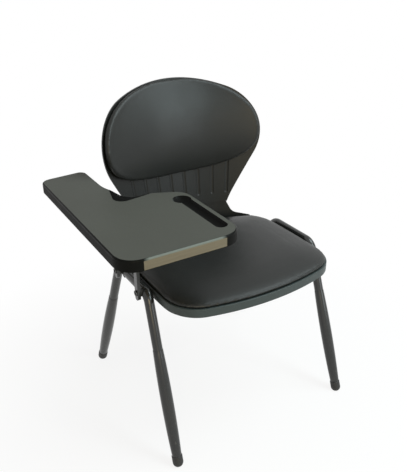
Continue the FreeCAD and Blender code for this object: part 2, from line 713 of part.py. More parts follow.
def make_back_shell(parts):
    outer = BACK_RADIUS + BACK_SHEET
    shell = back_sheet(BACK_RADIUS, outer, back_outline())
    front = back_cylinder(BACK_RADIUS + BACK_SHEET / 2.0)
    bosses = []
    holes = []
    screws = []
    way = back_normal()
    for side in (1, -1):
        for z in STRAP_SCREW_ZS:
            spot = strap_point(side, z)
            depth = spot.y - back_y(STRAP_X, z, BACK_RADIUS + BOSS_SKIN)
            bosses.append(cylinder(spot, way, BOSS_R, STRAP_OFFSET + 2.0 * BACK_SHEET).cut(front))
            holes.append(cylinder(spot, way, STRAP_SCREW_R + SCREW_BITE, depth * BACK_COS))
            screws.append(screw(spot - way * STRAP, way, STRAP_SCREW_HEAD_R, STRAP_SCREW_HEAD,
                                STRAP_SCREW_R, STRAP + depth * BACK_COS))
    neck = []
    grip = TONGUE_SHEET + TONGUE_GAP + BACK_SHEET - NECK_SCREW_SKIN
    for seat, direction in neck_screw_axes():
        holes.append(cylinder(seat, direction, NECK_SCREW_R + SCREW_BITE, grip))
        neck.append(screw(seat, direction, NECK_SCREW_HEAD_R, NECK_SCREW_HEAD, NECK_SCREW_R, grip))
    flutes = [flute(side * (FLUTE_FIRST_X + FLUTE_PITCH * index))
              for side in (1, -1) for index in range(FLUTES_A_SIDE)]
    parts["back_shell"] = joined([shell] + bosses).cut(holes + flutes)
    parts["strap_screws"] = Part.makeCompound(screws)
    parts["neck_screws"] = Part.makeCompound(neck)


def back_board_outline(gap):
    half_width = BACK_PAD_HALF_WIDTH - BACK_BOARD_INSET + gap
    rise = BACK_PAD_RISE - BACK_BOARD_INSET + gap
    fall = BACK_PAD_FALL - BACK_BOARD_INSET + gap
    return [half_ellipse(BACK_PAD_MID_Z, half_width, rise, 0.0),
            half_ellipse(BACK_PAD_MID_Z, half_width, fall, math.pi)]


def back_pad_slice(angle):
    """Level section of the back pad: rear arc, rounded end, crowned front and rounded end."""
    up = angle > 0
    reach = BACK_PAD_RISE if up else BACK_PAD_FALL
    power = BACK_PAD_POWER_UP if up else BACK_PAD_POWER_DOWN
    share = math.sin(math.radians(angle))
    z = BACK_PAD_MID_Z + reach * share
    half = BACK_PAD_HALF_WIDTH * (1.0 - abs(share) ** power) ** (1.0 / power)
    edge = BACK_PAD_EDGE * math.sqrt(1.0 - BACK_PAD_THIN * share * share)
    crown = edge + (BACK_PAD_CROWN - BACK_PAD_EDGE) * (1.0 - share * share)
    rear = BACK_RADIUS - BACK_PAD_GAP

    def at(x, depth):
        return V(x, back_y(x, z, rear - depth), z)

    back_x = half - BACK_PAD_DRAW_REAR
    front_x = half - BACK_PAD_DRAW_FRONT
    return Part.Wire([arc(at(-back_x, 0), at(0, 0), at(back_x, 0)),
                      arc(at(back_x, 0), at(half, edge / 2.0), at(front_x, edge)),
                      arc(at(front_x, edge), at(0, crown), at(-front_x, edge)),
                      arc(at(-front_x, edge), at(-half, edge / 2.0), at(-back_x, 0))])


def make_back_cushion(parts):
    rear = BACK_RADIUS - BACK_PAD_GAP
    front = rear - BACK_BOARD
    parts["back_board"] = back_sheet(front, rear, back_board_outline(0.0))
    step = 2.0 * BACK_PAD_REACH / (BACK_PAD_SLICES - 1)
    slices = [back_pad_slice(-BACK_PAD_REACH + step * index) for index in range(BACK_PAD_SLICES)]
    pocket = back_sheet(front - BACK_PAD_GAP, BACK_RADIUS, back_board_outline(BACK_PAD_GAP))
    parts["back_pad"] = Part.makeLoft(slices, True, True).cut(pocket)


def make_straps(parts):
    """Flat steel straps from under the rear cross tube up the back."""
    top_z = CROSS_Z - CROSS_R + STRAP_SEATING
    front_y = REAR_CROSS_Y - STRAP_AHEAD_OF_TUBE
    rear_step = STRAP / BACK_COS
    for name, side in (("left", 1), ("right", -1)):
        x = side * STRAP_X - STRAP_WIDTH / 2.0

        def at(y_shift, z):
            return V(x, strap_point(side, z).y + y_shift, z)

        edges = rounded([(V(x, front_y, top_z), 0), (at(0, top_z), STRAP_BEND_R),
                         (at(0, STRAP_TOP_Z), 0), (at(rear_step, STRAP_TOP_Z), 0),
                         (at(rear_step, top_z - STRAP), STRAP_BEND_R + STRAP),
                         (V(x, front_y, top_z - STRAP), 0)])
        strap = prism(edges, X_AXIS * STRAP_WIDTH)
        ends = [edge for edge in strap.Edges
                if edge.BoundBox.XLength < TOUCH and edge.BoundBox.ZMin > STRAP_TOP_Z - TOUCH]
        strap = strap.makeFillet(STRAP_END_ROUND, ends)
        cuts = [cross_rod(REAR_CROSS_Y, CROSS_R)]
        for z in STRAP_SCREW_ZS:
            cuts.append(cylinder(strap_point(side, z), back_normal() * -1.0,
                                 STRAP_SCREW_R + SCREW_GAP, 2.0 * STRAP))
        parts[name + "_back_strap"] = strap.cut(cuts)


def make_arms(parts, rail_rods):
    low = HINGE_Z - EYE_R
    high = low + ARM_BAR
    bolts = []
    nuts = []
    for end, y in ARM_YS.items():
        bolt = arm_bolt_point(y)
        half = ARM_WIDTH / 2.0
        near = y - half

        def at(x, z):
            return V(x, near, z)

        toe_z = bolt.z - ARM_TOE_DROP
        bar = prism(rounded([(at(ARM_INNER_X, toe_z), 0), (at(ARM_INNER_X, high), ARM_BEND_R + ARM_BAR),
                             (at(HINGE_X, high), 0), (at(HINGE_X, low), 0),
                             (at(ARM_OUTER_X, low), ARM_BEND_R), (at(ARM_OUTER_X, toe_z), 0)]),
                    Y_AXIS * ARM_WIDTH)
        toe = cylinder(V(ARM_OUTER_X, y, toe_z), X_AXIS, half, ARM_BAR)
        eye = cylinder(at(HINGE_X, HINGE_Z), Y_AXIS, EYE_R, ARM_WIDTH)
        perch = V(ARM_OUTER_X - BUMPER_FROM_ARM, y, high)
        holes = [cylinder(at(HINGE_X, HINGE_Z), Y_AXIS, ROD_R + ROD_GAP, ARM_WIDTH),
                 cylinder(V(ARM_OUTER_X, y, bolt.z), X_AXIS, ARM_BOLT_R + SCREW_GAP, ARM_BAR),
                 cylinder(perch, -Z_AXIS, BUMPER_STEM_R + SCREW_BITE, BUMPER_STEM + SCREW_GAP)]
        parts[end + "_arm_bracket"] = joined([bar, toe, eye]).cut(holes)

        bumper = cylinder(perch, Z_AXIS, BUMPER_R, TABLET_Z - BUMPER_REST_GAP - high)
        stem = cylinder(perch, -Z_AXIS, BUMPER_STEM_R, BUMPER_STEM)
        parts[end + "_rest_bumper"] = joined([bumper, stem])

        saddle = box(at(ARM_INNER_X, bolt.z - ARM_SADDLE_HALF),
                     V(-RAIL_X, y + half, bolt.z + ARM_SADDLE_HALF))
        nut_room = cylinder(V(ARM_INNER_X, y, bolt.z), X_AXIS, ARM_NUT_R + ARM_NUT_GAP, TUBE_R)
        parts[end + "_arm_saddle"] = saddle.cut([rail_rods[-1], nut_room])

        reach = ARM_BAR + ARM_SADDLE + ARM_NUT_LENGTH
        bolts.append(screw(V(ARM_OUTER_X, y, bolt.z), X_AXIS, ARM_BOLT_HEAD_R, ARM_BOLT_HEAD,
                           ARM_BOLT_R, reach))
        nut = cylinder(bolt, X_AXIS, ARM_NUT_R, ARM_NUT_LENGTH)
        nuts.append(nut.cut(cylinder(bolt, X_AXIS, ARM_BOLT_R + SCREW_BITE, ARM_NUT_LENGTH)))
    parts["arm_screws"] = Part.makeCompound(bolts)
    parts["arm_insert_nuts"] = Part.makeCompound(nuts)


def make_hinge_rod(parts):
    seat = LUG_SIDE + CAP_GAP
    overrun = seat + CAP_LENGTH - CAP_END
    start = ARM_YS["front"] - overrun
    end = ARM_YS["rear"] + overrun
    parts["hinge_rod"] = cylinder(V(HINGE_X, start, HINGE_Z), Y_AXIS, ROD_R, end - start)
    for name, way in (("front", -1), ("rear", 1)):
        base = V(HINGE_X, ARM_YS[name] + way * seat, HINGE_Z)
        cap = cylinder(base, Y_AXIS * way, CAP_R, CAP_LENGTH)
        end_y = base.y + way * CAP_LENGTH
        rim = [edge for edge in cap.Edges if abs(edge.BoundBox.Center.y - end_y) < TOUCH]
        bore = cylinder(base, Y_AXIS * way, ROD_R + SCREW_BITE, CAP_LENGTH - CAP_END)
        parts[name + "_rod_cap"] = cap.makeFillet(CAP_END, rim).cut(bore)


def lug_screw_points(y):
    for dx in (LUG_SCREW_INNER, -LUG_SCREW_OUTER):
        for dy in (LUG_SCREW_SPREAD, -LUG_SCREW_SPREAD):
            yield V(HINGE_X + dx, y + dy, TABLET_Z - LUG_PLATE)


def make_lugs(parts):
    """Hinge lugs under the tablet: two ears on a plate, and a lip that stops the tablet when it is up."""
    turn = math.radians(FLIP_ANGLE)
    lip_drop = (EYE_R + FLIP_STOP_GAP - LUG_LIP_X * math.sin(turn)) / math.cos(turn)
    plate_z = TABLET_Z - LUG_PLATE
    screws = []
    for end, y in ARM_YS.items():
        plate = box(V(HINGE_X - LUG_SCREW_OUTER - LUG_MARGIN, y - LUG_HALF, plate_z),
                    V(HINGE_X + LUG_SCREW_INNER + LUG_MARGIN, y + LUG_HALF, TABLET_Z))
        lip = box(V(HINGE_X - LUG_LIP_X - LUG_LIP, y - LUG_SIDE, HINGE_Z - lip_drop),
                  V(HINGE_X - LUG_LIP_X, y + LUG_SIDE, plate_z))
        pieces = [plate, lip]
        for low in (y - LUG_SIDE, y + LUG_SIDE - LUG_EAR):
            pieces.append(cylinder(V(HINGE_X, low, HINGE_Z), Y_AXIS, LUG_EAR_R, LUG_EAR))
            pieces.append(box(V(HINGE_X - LUG_LIP_X, low, HINGE_Z),
                              V(HINGE_X + LUG_EAR_R, low + LUG_EAR, plate_z)))
        cuts = [cylinder(V(HINGE_X, y - LUG_SIDE, HINGE_Z), Y_AXIS, ROD_R + ROD_GAP, 2.0 * LUG_SIDE)]
        for point in lug_screw_points(y):
            cuts.append(cylinder(point, Z_AXIS, LUG_SCREW_R + SCREW_GAP, LUG_PLATE))
            screws.append(screw(point, Z_AXIS, LUG_SCREW_HEAD_R, LUG_SCREW_HEAD, LUG_SCREW_R,
                                LUG_PLATE + LUG_SCREW_BITE))
        parts[end + "_hinge_lug"] = joined(pieces).cut(cuts)
    parts["lug_screws"] = Part.makeCompound(screws)


def flat_outline(corners, z):
    return rounded([(V(x, y, z), radius) for x, y, radius in corners])


def core_outline(z, gap):
    """L-shaped board let into the underside of the tablet, clear of the groove and the scoop."""
    outer = TABLET_OUTER_X + CORE_EDGE - gap
    inner = TABLET_INNER_X - CORE_INNER_EDGE + gap
    waist = TABLET_WAIST_X - CORE_WAIST_EDGE + gap
    front = TABLET_FRONT_Y + CORE_FRONT_EDGE - gap
    step = TABLET_NOTCH_Y - CORE_NOTCH_EDGE + gap
    rear = TABLET_OUTER_REAR_Y - CORE_REAR_EDGE + gap
    corners = [(outer, front), (inner, front), (inner, step), (waist, step), (waist, rear), (outer, rear)]
    return flat_outline([(x, y, CORE_ROUND) for x, y in corners], z)


def scoop():
    """Sloping relief for the elbow where the armrest widens into the tablet."""
    rear_x = TABLET_WAIST_X + SCOOP_RISE / 2.0
    brim_x = TABLET_WAIST_X - SCOOP_BRIM
    front_x = TABLET_WAIST_X + SCOOP_WIDTH
    rear_y = TABLET_NOTCH_Y + SCOOP_REAR
    brim_y = TABLET_NOTCH_Y - SCOOP_FRONT
    far = (front_x + SCOOP_OVER, rear_y + SCOOP_RUN, SCOOP_SMALL_ROUND)
    upper = [(rear_x, rear_y, SCOOP_SMALL_ROUND), (brim_x, brim_y, SCOOP_ROUND),
             (front_x, brim_y + SCOOP_RISE, SCOOP_SMALL_ROUND), far]
    lower = [(rear_x + SCOOP_RUN, rear_y, SCOOP_SMALL_ROUND),
             (brim_x + SCOOP_RUN, brim_y + SCOOP_RUN, SCOOP_ROUND),
             (front_x, brim_y + SCOOP_RISE + SCOOP_RUN, SCOOP_SMALL_ROUND), far]
    wires = [Part.Wire(flat_outline(upper, TABLET_TOP_Z)),
             Part.Wire(flat_outline(lower, TABLET_TOP_Z - SCOOP_DEPTH))]
    return Part.makeLoft(wires, True, True)


def make_tablet(parts):
    outline = [(TABLET_OUTER_X, TABLET_FRONT_Y, TABLET_CORNER_R),
               (TABLET_INNER_X, TABLET_FRONT_Y, TABLET_CORNER_R),
               (TABLET_INNER_X, TABLET_INNER_REAR_Y, TABLET_CORNER_R),
               (TABLET_WAIST_X, TABLET_NOTCH_Y, TABLET_NOTCH_R),
               (TABLET_WAIST_X, TABLET_WAIST_REAR_Y, TABLET_WAIST_REAR_R),
               (TABLET_OUTER_X, TABLET_OUTER_REAR_Y, TABLET_OUTER_REAR_R)]
    slab = prism(flat_outline(outline, TABLET_Z), Z_AXIS * TABLET)
    rim = [edge for edge in slab.Edges if edge.BoundBox.ZMin > TABLET_TOP_Z - TOUCH]
    slab = slab.makeFillet(TABLET_ROUND, rim)

    groove_r = (GROOVE_HALF ** 2 + GROOVE_DEPTH ** 2) / (2.0 * GROOVE_DEPTH)
    groove_x = TABLET_INNER_X - GROOVE_RIM - GROOVE_HALF
    groove_z = TABLET_TOP_Z + groove_r - GROOVE_DEPTH
    front = V(groove_x, TABLET_FRONT_Y + GROOVE_FRONT_EDGE + GROOVE_HALF, groove_z)
    rear = front + Y_AXIS * (GROOVE_LENGTH - 2.0 * GROOVE_HALF)
    dish_r = (DISH_R ** 2 + DISH_DEPTH ** 2) / (2.0 * DISH_DEPTH)
    dish = Part.makeSphere(dish_r, V(rear.x + DISH_SHIFT, rear.y, TABLET_TOP_Z + dish_r - DISH_DEPTH))

    strip_low = V(TABLET_OUTER_X + TABLET_CORNER_R, TABLET_FRONT_Y, TABLET_Z + STRIP_EDGE)
    strip_high = V(TABLET_INNER_X - TABLET_CORNER_R, TABLET_FRONT_Y + STRIP, strip_low.z + STRIP_HEIGHT)
    parts["tablet_edge_strip"] = box(strip_low, strip_high)
    around = V(STRIP_GAP, STRIP_GAP, STRIP_GAP)
    recess = box(strip_low - around, strip_high + around)

    pocket = prism(core_outline(TABLET_Z, CORE_GAP), Z_AXIS * (CORE + CORE_GAP))
    parts["tablet_top"] = slab.cut([capsule(front, rear, groove_r), dish, scoop(), recess, pocket])
    core = prism(core_outline(TABLET_Z, 0.0), Z_AXIS * CORE)
    bites = [cylinder(point, Z_AXIS, LUG_SCREW_R + SCREW_BITE, LUG_PLATE + LUG_SCREW_BITE)
             for y in ARM_YS.values() for point in lug_screw_points(y)]
    parts["tablet_core"] = core.cut(bites)


def main():
    parts = {}
    rail_rods = {side: side_rail(side, TUBE_R) for side in (1, -1)}
    make_rails(parts, rail_rods)
    make_legs(parts)
    make_cross_tubes(parts, rail_rods)
    make_seat_shell(parts)
    make_seat_cushion(parts)
    make_back_shell(parts)
    make_back_cushion(parts)
    make_straps(parts)
    make_arms(parts, rail_rods)
    make_hinge_rod(parts)
    make_lugs(parts)
    make_tablet(parts)

    bounds = Part.makeCompound(list(parts.values())).optimalBoundingBox(False, False)
    origin = V(bounds.Center.x, bounds.Center.y, bounds.ZMin)
    os.makedirs("parts", exist_ok=True)
    for name, shape in parts.items():
        shape.translate(-origin)
        shape.exportStep(f"parts/{name}.step")
    print(f"{len(parts)} nodes; the seat's middle plane is at x = {-origin.x:.3f}, y shift {-origin.y:.3f}")


main()
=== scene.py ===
"""Looks of a black chair with a padded seat and back and a writing tablet on its right arm.

Metres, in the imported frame: X to the sitter's left, Y to the back, Z up from the floor.
"""
import json
import math

import bpy
import numpy as np
from mathutils import Matrix, Vector
from mathutils.bvhtree import BVHTree


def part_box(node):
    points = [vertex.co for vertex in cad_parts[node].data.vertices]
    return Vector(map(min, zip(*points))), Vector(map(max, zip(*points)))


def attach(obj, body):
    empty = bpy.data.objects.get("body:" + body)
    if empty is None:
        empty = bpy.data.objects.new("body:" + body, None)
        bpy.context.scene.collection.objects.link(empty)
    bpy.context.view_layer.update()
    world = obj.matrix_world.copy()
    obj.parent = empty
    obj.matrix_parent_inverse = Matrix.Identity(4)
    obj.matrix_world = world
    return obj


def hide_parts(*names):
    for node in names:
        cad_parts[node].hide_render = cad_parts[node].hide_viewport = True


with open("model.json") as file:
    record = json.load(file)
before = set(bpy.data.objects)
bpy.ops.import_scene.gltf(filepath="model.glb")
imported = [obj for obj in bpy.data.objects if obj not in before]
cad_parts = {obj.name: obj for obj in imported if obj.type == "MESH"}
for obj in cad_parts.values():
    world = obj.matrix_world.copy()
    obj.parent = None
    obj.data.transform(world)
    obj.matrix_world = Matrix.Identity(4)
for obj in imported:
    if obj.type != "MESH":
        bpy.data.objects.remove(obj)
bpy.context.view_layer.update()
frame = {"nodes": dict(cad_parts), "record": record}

NODES = frame["nodes"]
SLOT_OF = {part["node"]: part["material_slot"] for part in frame["record"]["subparts"]}

# Camera: where it stands, how it is turned and how long its lens is
CAMERA_PLACE = (-0.6607, -1.1267, 1.14)
CAMERA_TILT = 26.785
CAMERA_TURN = -30.8
CAMERA_ROLL = -0.55
CAMERA_SENSOR = 36.0
CAMERA_LENS = 43.51

# Pads: grid of the cover, its cloth, how far it may swell, how near its carrier it stays put, how far
# off it is free, how squarely it faces its carrier where it is held all the same, and the steps that
# even out the swelling and, without drawing it in, the form
PAD_VOXEL = 0.004
PAD_CLOTH = {
    "quality": 6,
    "mass": 0.3,
    "tension_stiffness": 15.0,
    "compression_stiffness": 4.0,
    "bending_stiffness": 20.0,
    "use_pressure": True,
    "uniform_pressure_force": 3.0,
}
PAD_FRAMES = 20
PAD_CAP = 0.004
PAD_HELD = 0.0035
PAD_FREE = 0.0085
PAD_FACING = 0.6
PAD_EVENING = [0.5] * 240
PAD_SMOOTHING = [0.5, -0.53] * 24

# Depth of the finest grain in moulded, coated and wooden finishes, and of the peel in the paint
GRAIN_DEPTH = 0.0003
PEEL_DEPTH = 0.0004

# Frame paint: rubbed below the first height over the floor, plain above the second
PAINT_RUBBED_Z = 0.02
PAINT_PLAIN_Z = 0.16

# Seat shell: how far back from its front the painted highlight on its rim is full, and from where it is plain
RIM_HIGHLIGHT_DEPTH = 0.1
RIM_PLAIN_DEPTH = 0.18

# Tablet: depth of the grey face, where the edge turns from dull to glossy under the top, and how the painted
# highlight line over the strip fades at its ends and at its foot
TABLET_FACE_DEPTH = 0.0006
TABLET_DULL_DEPTH = 0.006
TABLET_GLOSS_DEPTH = 0.002
TABLET_HIGHLIGHT_FADE = 0.012
TABLET_HIGHLIGHT_FOOT = 0.0005

# Floor: where its white begins and is full, counted from the middle, and its share near the object
FLOOR_RADIUS = 30.0
FLOOR_SIDES = 96
FLOOR_NEAR = 0.3
FLOOR_FAR = 0.9
FLOOR_GLOW = 0.85

# Lamps: soft light from all round, and softboxes with place, aim, size, watts and colour
AMBIENT = 0.3
SOFTBOXES = {
    "key_box": ((1.45, -2.35, 1.95), (0.05, 0.05, 0.5), (0.9, 1.4), 36.0, (0.8, 0.97, 1.0)),
    "low_box": ((1.5, -2.5, 0.8), (0.05, 0.05, 0.5), (1.1, 1.1), 13.0, (0.9, 0.97, 1.0)),
    "top_box": ((1.3, -0.7, 2.6), (0.0, 0.0, 0.5), (1.3, 1.5), 36.0, (0.84, 0.98, 1.0)),
    "fill_box": ((-1.2, -2.6, 1.2), (0.0, 0.0, 0.5), (1.2, 1.4), 28.0, (1.0, 0.82, 0.48)),
}


def srgb(*values):
    """Linear RGBA from display values of 0 to 255."""
    linear = []
    for value in values:
        share = value / 255.0
        linear.append(share / 12.92 if share <= 0.04045 else ((share + 0.055) / 1.055) ** 2.4)
    return (*linear, 1.0)


class Finish:
    """A Principled material with the nodes that feed it, in the piece's own metres."""

    def __init__(self, name, **constants):
        self.material = bpy.data.materials.new(name)
        self.material.use_nodes = True
        self.tree = self.material.node_tree
        self.shader = self.tree.nodes["Principled BSDF"]
        for socket, value in constants.items():
            self.shader.inputs[socket.replace("_", " ")].default_value = value
        places = self.node("ShaderNodeTexCoord")
        self.place = places.outputs["Object"]
        self.facing = places.outputs["Normal"]

    def node(self, kind, inputs=None, **settings):
        made = self.tree.nodes.new(kind)
        for name, value in settings.items():
            setattr(made, name, value)
        for name, value in (inputs or {}).items():
            if isinstance(value, bpy.types.NodeSocket):
                self.tree.links.new(value, made.inputs[name])
            else:
                made.inputs[name].default_value = value
        return made

    def feed(self, socket, source):
        self.tree.links.new(source, self.shader.inputs[socket])

    def stretched(self, scale):
        return self.node("ShaderNodeMapping", {"Vector": self.place, "Scale": scale}).outputs["Vector"]

    def noise(self, scale, detail=3.0, roughness=0.5, place=None):
        inputs = {"Vector": place or self.place, "Scale": scale, "Detail": detail, "Roughness": roughness}
        return self.node("ShaderNodeTexNoise", inputs).outputs["Fac"]

    def cells(self, scale, feature="DISTANCE_TO_EDGE"):
        inputs = {"Vector": self.place, "Scale": scale}
        return self.node("ShaderNodeTexVoronoi", inputs, feature=feature).outputs["Distance"]

    def spread(self, source, low, high, start=0.0, end=1.0):
        inputs = {"Value": source, "From Min": start, "From Max": end, "To Min": low, "To Max": high}
        return self.node("ShaderNodeMapRange", inputs).outputs["Result"]

    def math(self, operation, first, second):
        return self.node("ShaderNodeMath", {0: first, 1: second}, operation=operation).outputs[0]

    def tint(self, factor, first, second):
        made = self.node("ShaderNodeMix", data_type="RGBA")
        self.tree.links.new(factor, made.inputs["Factor"])
        for socket, value in (("A", first), ("B", second)):
            target = next(s for s in made.inputs if s.name == socket and s.type == "RGBA")
            if isinstance(value, bpy.types.NodeSocket):
                self.tree.links.new(value, target)
            else:
                target.default_value = value
        return next(s for s in made.outputs if s.type == "RGBA")

    def bump(self, height, strength, distance):
        inputs = {"Height": height, "Strength": strength, "Distance": distance}
        return self.node("ShaderNodeBump", inputs).outputs["Normal"]

    def along(self, axis, source=None):
        split = self.node("ShaderNodeSeparateXYZ", {"Vector": source or self.place})
        return split.outputs[axis]


def frame_paint():
    """Black stove enamel: faint orange peel, rubbed paler towards the floor."""
    paint = Finish("frame_paint", Specular_IOR_Level=0.5)
    base = paint.tint(paint.noise(11.0, 2.0), srgb(28, 30, 31), srgb(39, 39, 37))
    low = paint.spread(paint.along("Z"), 1.0, 0.0, PAINT_RUBBED_Z, PAINT_PLAIN_Z)
    streaks = paint.noise(140.0, 4.0, 0.65, paint.stretched((1.0, 1.0, 0.35)))
    wear_and_painted_highlight = paint.math("MULTIPLY", low, paint.spread(streaks, 0.0, 1.0, 0.58, 0.7))
    paint.feed("Base Color", paint.tint(wear_and_painted_highlight, base, srgb(84, 82, 76)))
    paint.feed("Roughness", paint.spread(paint.noise(45.0, 3.0), 0.13, 0.22))
    paint.feed("Normal", paint.bump(paint.noise(520.0, 2.0), 0.12, PEEL_DEPTH))
    return paint.material


def grained(plastic, roughness, grain):
    """Uneven sheen and fine spark-eroded grain of a moulded plastic."""
    plastic.feed("Roughness", plastic.spread(plastic.noise(60.0, 3.0), roughness - 0.05, roughness + 0.06))
    pebbles = plastic.math("ADD", plastic.cells(grain, feature="SMOOTH_F1"), plastic.noise(grain * 2.0, 2.0))
    plastic.feed("Normal", plastic.bump(pebbles, 0.25, GRAIN_DEPTH))


def moulded_black(name, dark, light, roughness, grain, specular):
    """Moulded plastic or rubber in one mottled black."""
    plastic = Finish(name, Specular_IOR_Level=specular)
    plastic.feed("Base Color", plastic.tint(plastic.noise(14.0, 4.0, 0.6), dark, light))
    grained(plastic, roughness, grain)
    return plastic.material


def shell_plastic(front_y):
    """Moulded plastic of seat and back, with a painted highlight that makes the seat's front rim paler."""
    shell = Finish("shell_plastic", Specular_IOR_Level=0.26)
    base = shell.tint(shell.noise(14.0, 4.0, 0.6), srgb(20, 22, 21), srgb(27, 28, 26))
    # The seat's front rim, where it does not face down, is tinted pale bluish grey: a painted highlight.
    front = shell.spread(shell.along("Y"), 1.0, 0.0, front_y + RIM_HIGHLIGHT_DEPTH, front_y + RIM_PLAIN_DEPTH)
    outside = shell.spread(shell.along("Z", shell.facing), 0.0, 1.0, -0.6, -0.2)
    painted_rim_highlight = shell.math("MULTIPLY", front, outside)
    wear_and_painted_highlight = shell.math("MULTIPLY", painted_rim_highlight, shell.spread(shell.noise(40.0), 0.7, 1.0))
    shell.feed("Base Color", shell.tint(wear_and_painted_highlight, base, srgb(58, 66, 66)))
    grained(shell, 0.42, 760.0)
    return shell.material


def leatherette():
    """Coated fabric with small leather cells, darker in the creases between them."""
    cloth = Finish("pad_leatherette", Specular_IOR_Level=0.28)
    grain = cloth.spread(cloth.cells(480.0), 0.0, 1.0, 0.0, 0.22)
    base = cloth.tint(cloth.noise(7.0, 3.0, 0.55), srgb(28, 30, 30), srgb(36, 37, 35))
    cloth.feed("Base Color", cloth.tint(cloth.spread(grain, 0.3, 0.0), base, srgb(18, 19, 19)))
    cloth.feed("Roughness", cloth.spread(cloth.noise(30.0, 4.0, 0.6), 0.34, 0.44))
    height = cloth.math("ADD", grain, cloth.spread(cloth.noise(1500.0, 3.0, 0.6), 0.0, 0.35))
    cloth.feed("Normal", cloth.bump(height, 0.2, GRAIN_DEPTH))
    return cloth.material


def tablet_laminate(top_z, strip):
    """Grey grained laminate on top, black edges, groove and elbow relief, a painted highlight line over the
    strip.
    """
    slab = Finish("tablet_plastic", Specular_IOR_Level=0.05)
    flat = slab.spread(slab.along("Z", slab.facing), 0.0, 1.0, 0.985, 0.995)
    high = slab.spread(slab.along("Z"), 0.0, 1.0, top_z - TABLET_FACE_DEPTH, top_z - TABLET_FACE_DEPTH / 3.0)
    top = slab.math("MULTIPLY", flat, high)
    grey = slab.tint(slab.noise(5.0, 3.0), srgb(87, 87, 82), srgb(93, 94, 88))
    fleck = slab.spread(slab.noise(900.0, 4.0, 0.7), 0.0, 0.5, 0.35, 0.75)
    grey = slab.tint(fleck, grey, srgb(74, 73, 68))
    black = slab.tint(slab.noise(20.0, 3.0), srgb(10, 11, 10), srgb(17, 17, 16))
    # A pale bluish line along the front edge's top over the strip is a painted highlight.
    start, end = strip[0].x, strip[1].x
    after_start = slab.spread(slab.along("X"), 0.0, 1.0, start, start + TABLET_HIGHLIGHT_FADE)
    before_end = slab.spread(slab.along("X"), 1.0, 0.0, end - TABLET_HIGHLIGHT_FADE, end)
    front = slab.spread(slab.along("Y", slab.facing), 1.0, 0.0, -0.45, -0.15)
    above = slab.spread(slab.along("Z"), 0.0, 1.0, strip[1].z - TABLET_HIGHLIGHT_FOOT, strip[1].z)
    length = slab.math("MULTIPLY", after_start, before_end)
    painted_highlight_line = slab.math("MULTIPLY", length, slab.math("MULTIPLY", front, above))
    edges = slab.tint(painted_highlight_line, black, srgb(108, 114, 110))
    slab.feed("Base Color", slab.tint(top, edges, grey))
    edge = slab.spread(slab.along("Z"), 0.56, 0.3, top_z - TABLET_DULL_DEPTH, top_z - TABLET_GLOSS_DEPTH)
    wear_and_painted_highlight = slab.spread(slab.noise(18.0, 5.0, 0.65), -0.05, 0.06)
    slab.feed("Roughness", slab.math("ADD", slab.math("MAXIMUM", edge, slab.spread(top, 0.0, 0.5)), wear_and_painted_highlight))
    slab.feed("Normal", slab.bump(slab.noise(1100.0, 3.0, 0.6), 0.15, GRAIN_DEPTH))
    return slab.material


def wood(name, light, dark, scale, roughness):
    """Straight-grained wood along X with fine pores."""
    timber = Finish(name, Specular_IOR_Level=0.4)
    rings = timber.noise(1.0, 4.0, 0.6, timber.stretched((scale * 0.03, scale, scale)))
    pores = timber.noise(1.0, 2.0, 0.5, timber.stretched((scale * 0.2, scale * 9.0, scale * 9.0)))
    base = timber.tint(rings, light, dark)
    timber.feed("Base Color", timber.tint(timber.spread(pores, 0.0, 0.5, 0.55, 0.75), base, dark))
    timber.feed("Roughness", timber.spread(rings, roughness - 0.08, roughness + 0.08))
    timber.feed("Normal", timber.bump(pores, 0.2, GRAIN_DEPTH))
    return timber.material


def screw_steel():
    """Blackened steel with a little dulling."""
    steel = Finish("screw_steel", Metallic=1.0)
    blotch = steel.noise(160.0, 4.0, 0.6)
    steel.feed("Base Color", steel.tint(blotch, srgb(58, 58, 58), srgb(76, 76, 74)))
    steel.feed("Roughness", steel.spread(blotch, 0.34, 0.5))
    steel.feed("Normal", steel.bump(steel.noise(2400.0, 2.0), 0.1, GRAIN_DEPTH))
    return steel.material


def make_finishes():
    return {
        "frame_paint": frame_paint(),
        "foot_plastic": moulded_black("foot_plastic", srgb(32, 32, 32), srgb(42, 42, 41), 0.5, 900.0, 0.35),
        "shell_plastic": shell_plastic(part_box("seat_shell")[0].y),
        "pad_leatherette": leatherette(),
        "plywood": wood("plywood", srgb(196, 168, 128), srgb(150, 116, 78), 140.0, 0.6),
        "screw_steel": screw_steel(),
        "bumper_rubber": moulded_black("bumper_rubber", srgb(24, 24, 24), srgb(34, 34, 33), 0.8, 1200.0, 0.2),
        "tablet_plastic": tablet_laminate(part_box("tablet_top")[1].z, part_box("tablet_edge_strip")),
        "edge_wood": wood("edge_wood", srgb(110, 102, 83), srgb(83, 75, 58), 260.0, 0.42),
    }


def dress_nodes(finishes):
    for name, piece in NODES.items():
        piece.material_slots[0].material = finishes[SLOT_OF[name]]


def linked(name, mesh):
    piece = bpy.data.objects.new(name, mesh)
    bpy.context.scene.collection.objects.link(piece)
    return piece


def settle(piece):
    """Keeps what a piece's modifiers make as its mesh."""
    graph = bpy.context.evaluated_depsgraph_get()
    mesh = bpy.data.meshes.new_from_object(piece.evaluated_get(graph))
    piece.modifiers.clear()
    piece.data = mesh


def points(mesh):
    flat = np.zeros(len(mesh.vertices) * 3)
    mesh.vertices.foreach_get("co", flat)
    return flat.reshape(-1, 3)


def held_shares(mesh, carrier):
    """1 where the pad lies against what carries it or faces it, 0 where it is free to swell."""
    tree = BVHTree.FromObject(NODES[carrier], bpy.context.evaluated_depsgraph_get())
    shares = []
    for vertex in mesh.vertices:
        spot, _, _, gap = tree.find_nearest(vertex.co)
        share = 1.0 - (gap - PAD_HELD) / (PAD_FREE - PAD_HELD)
        if vertex.normal.dot(spot - vertex.co) > PAD_FACING * gap:
            share = 1.0
        shares.append(min(1.0, max(0.0, share)))
    return np.array(shares)


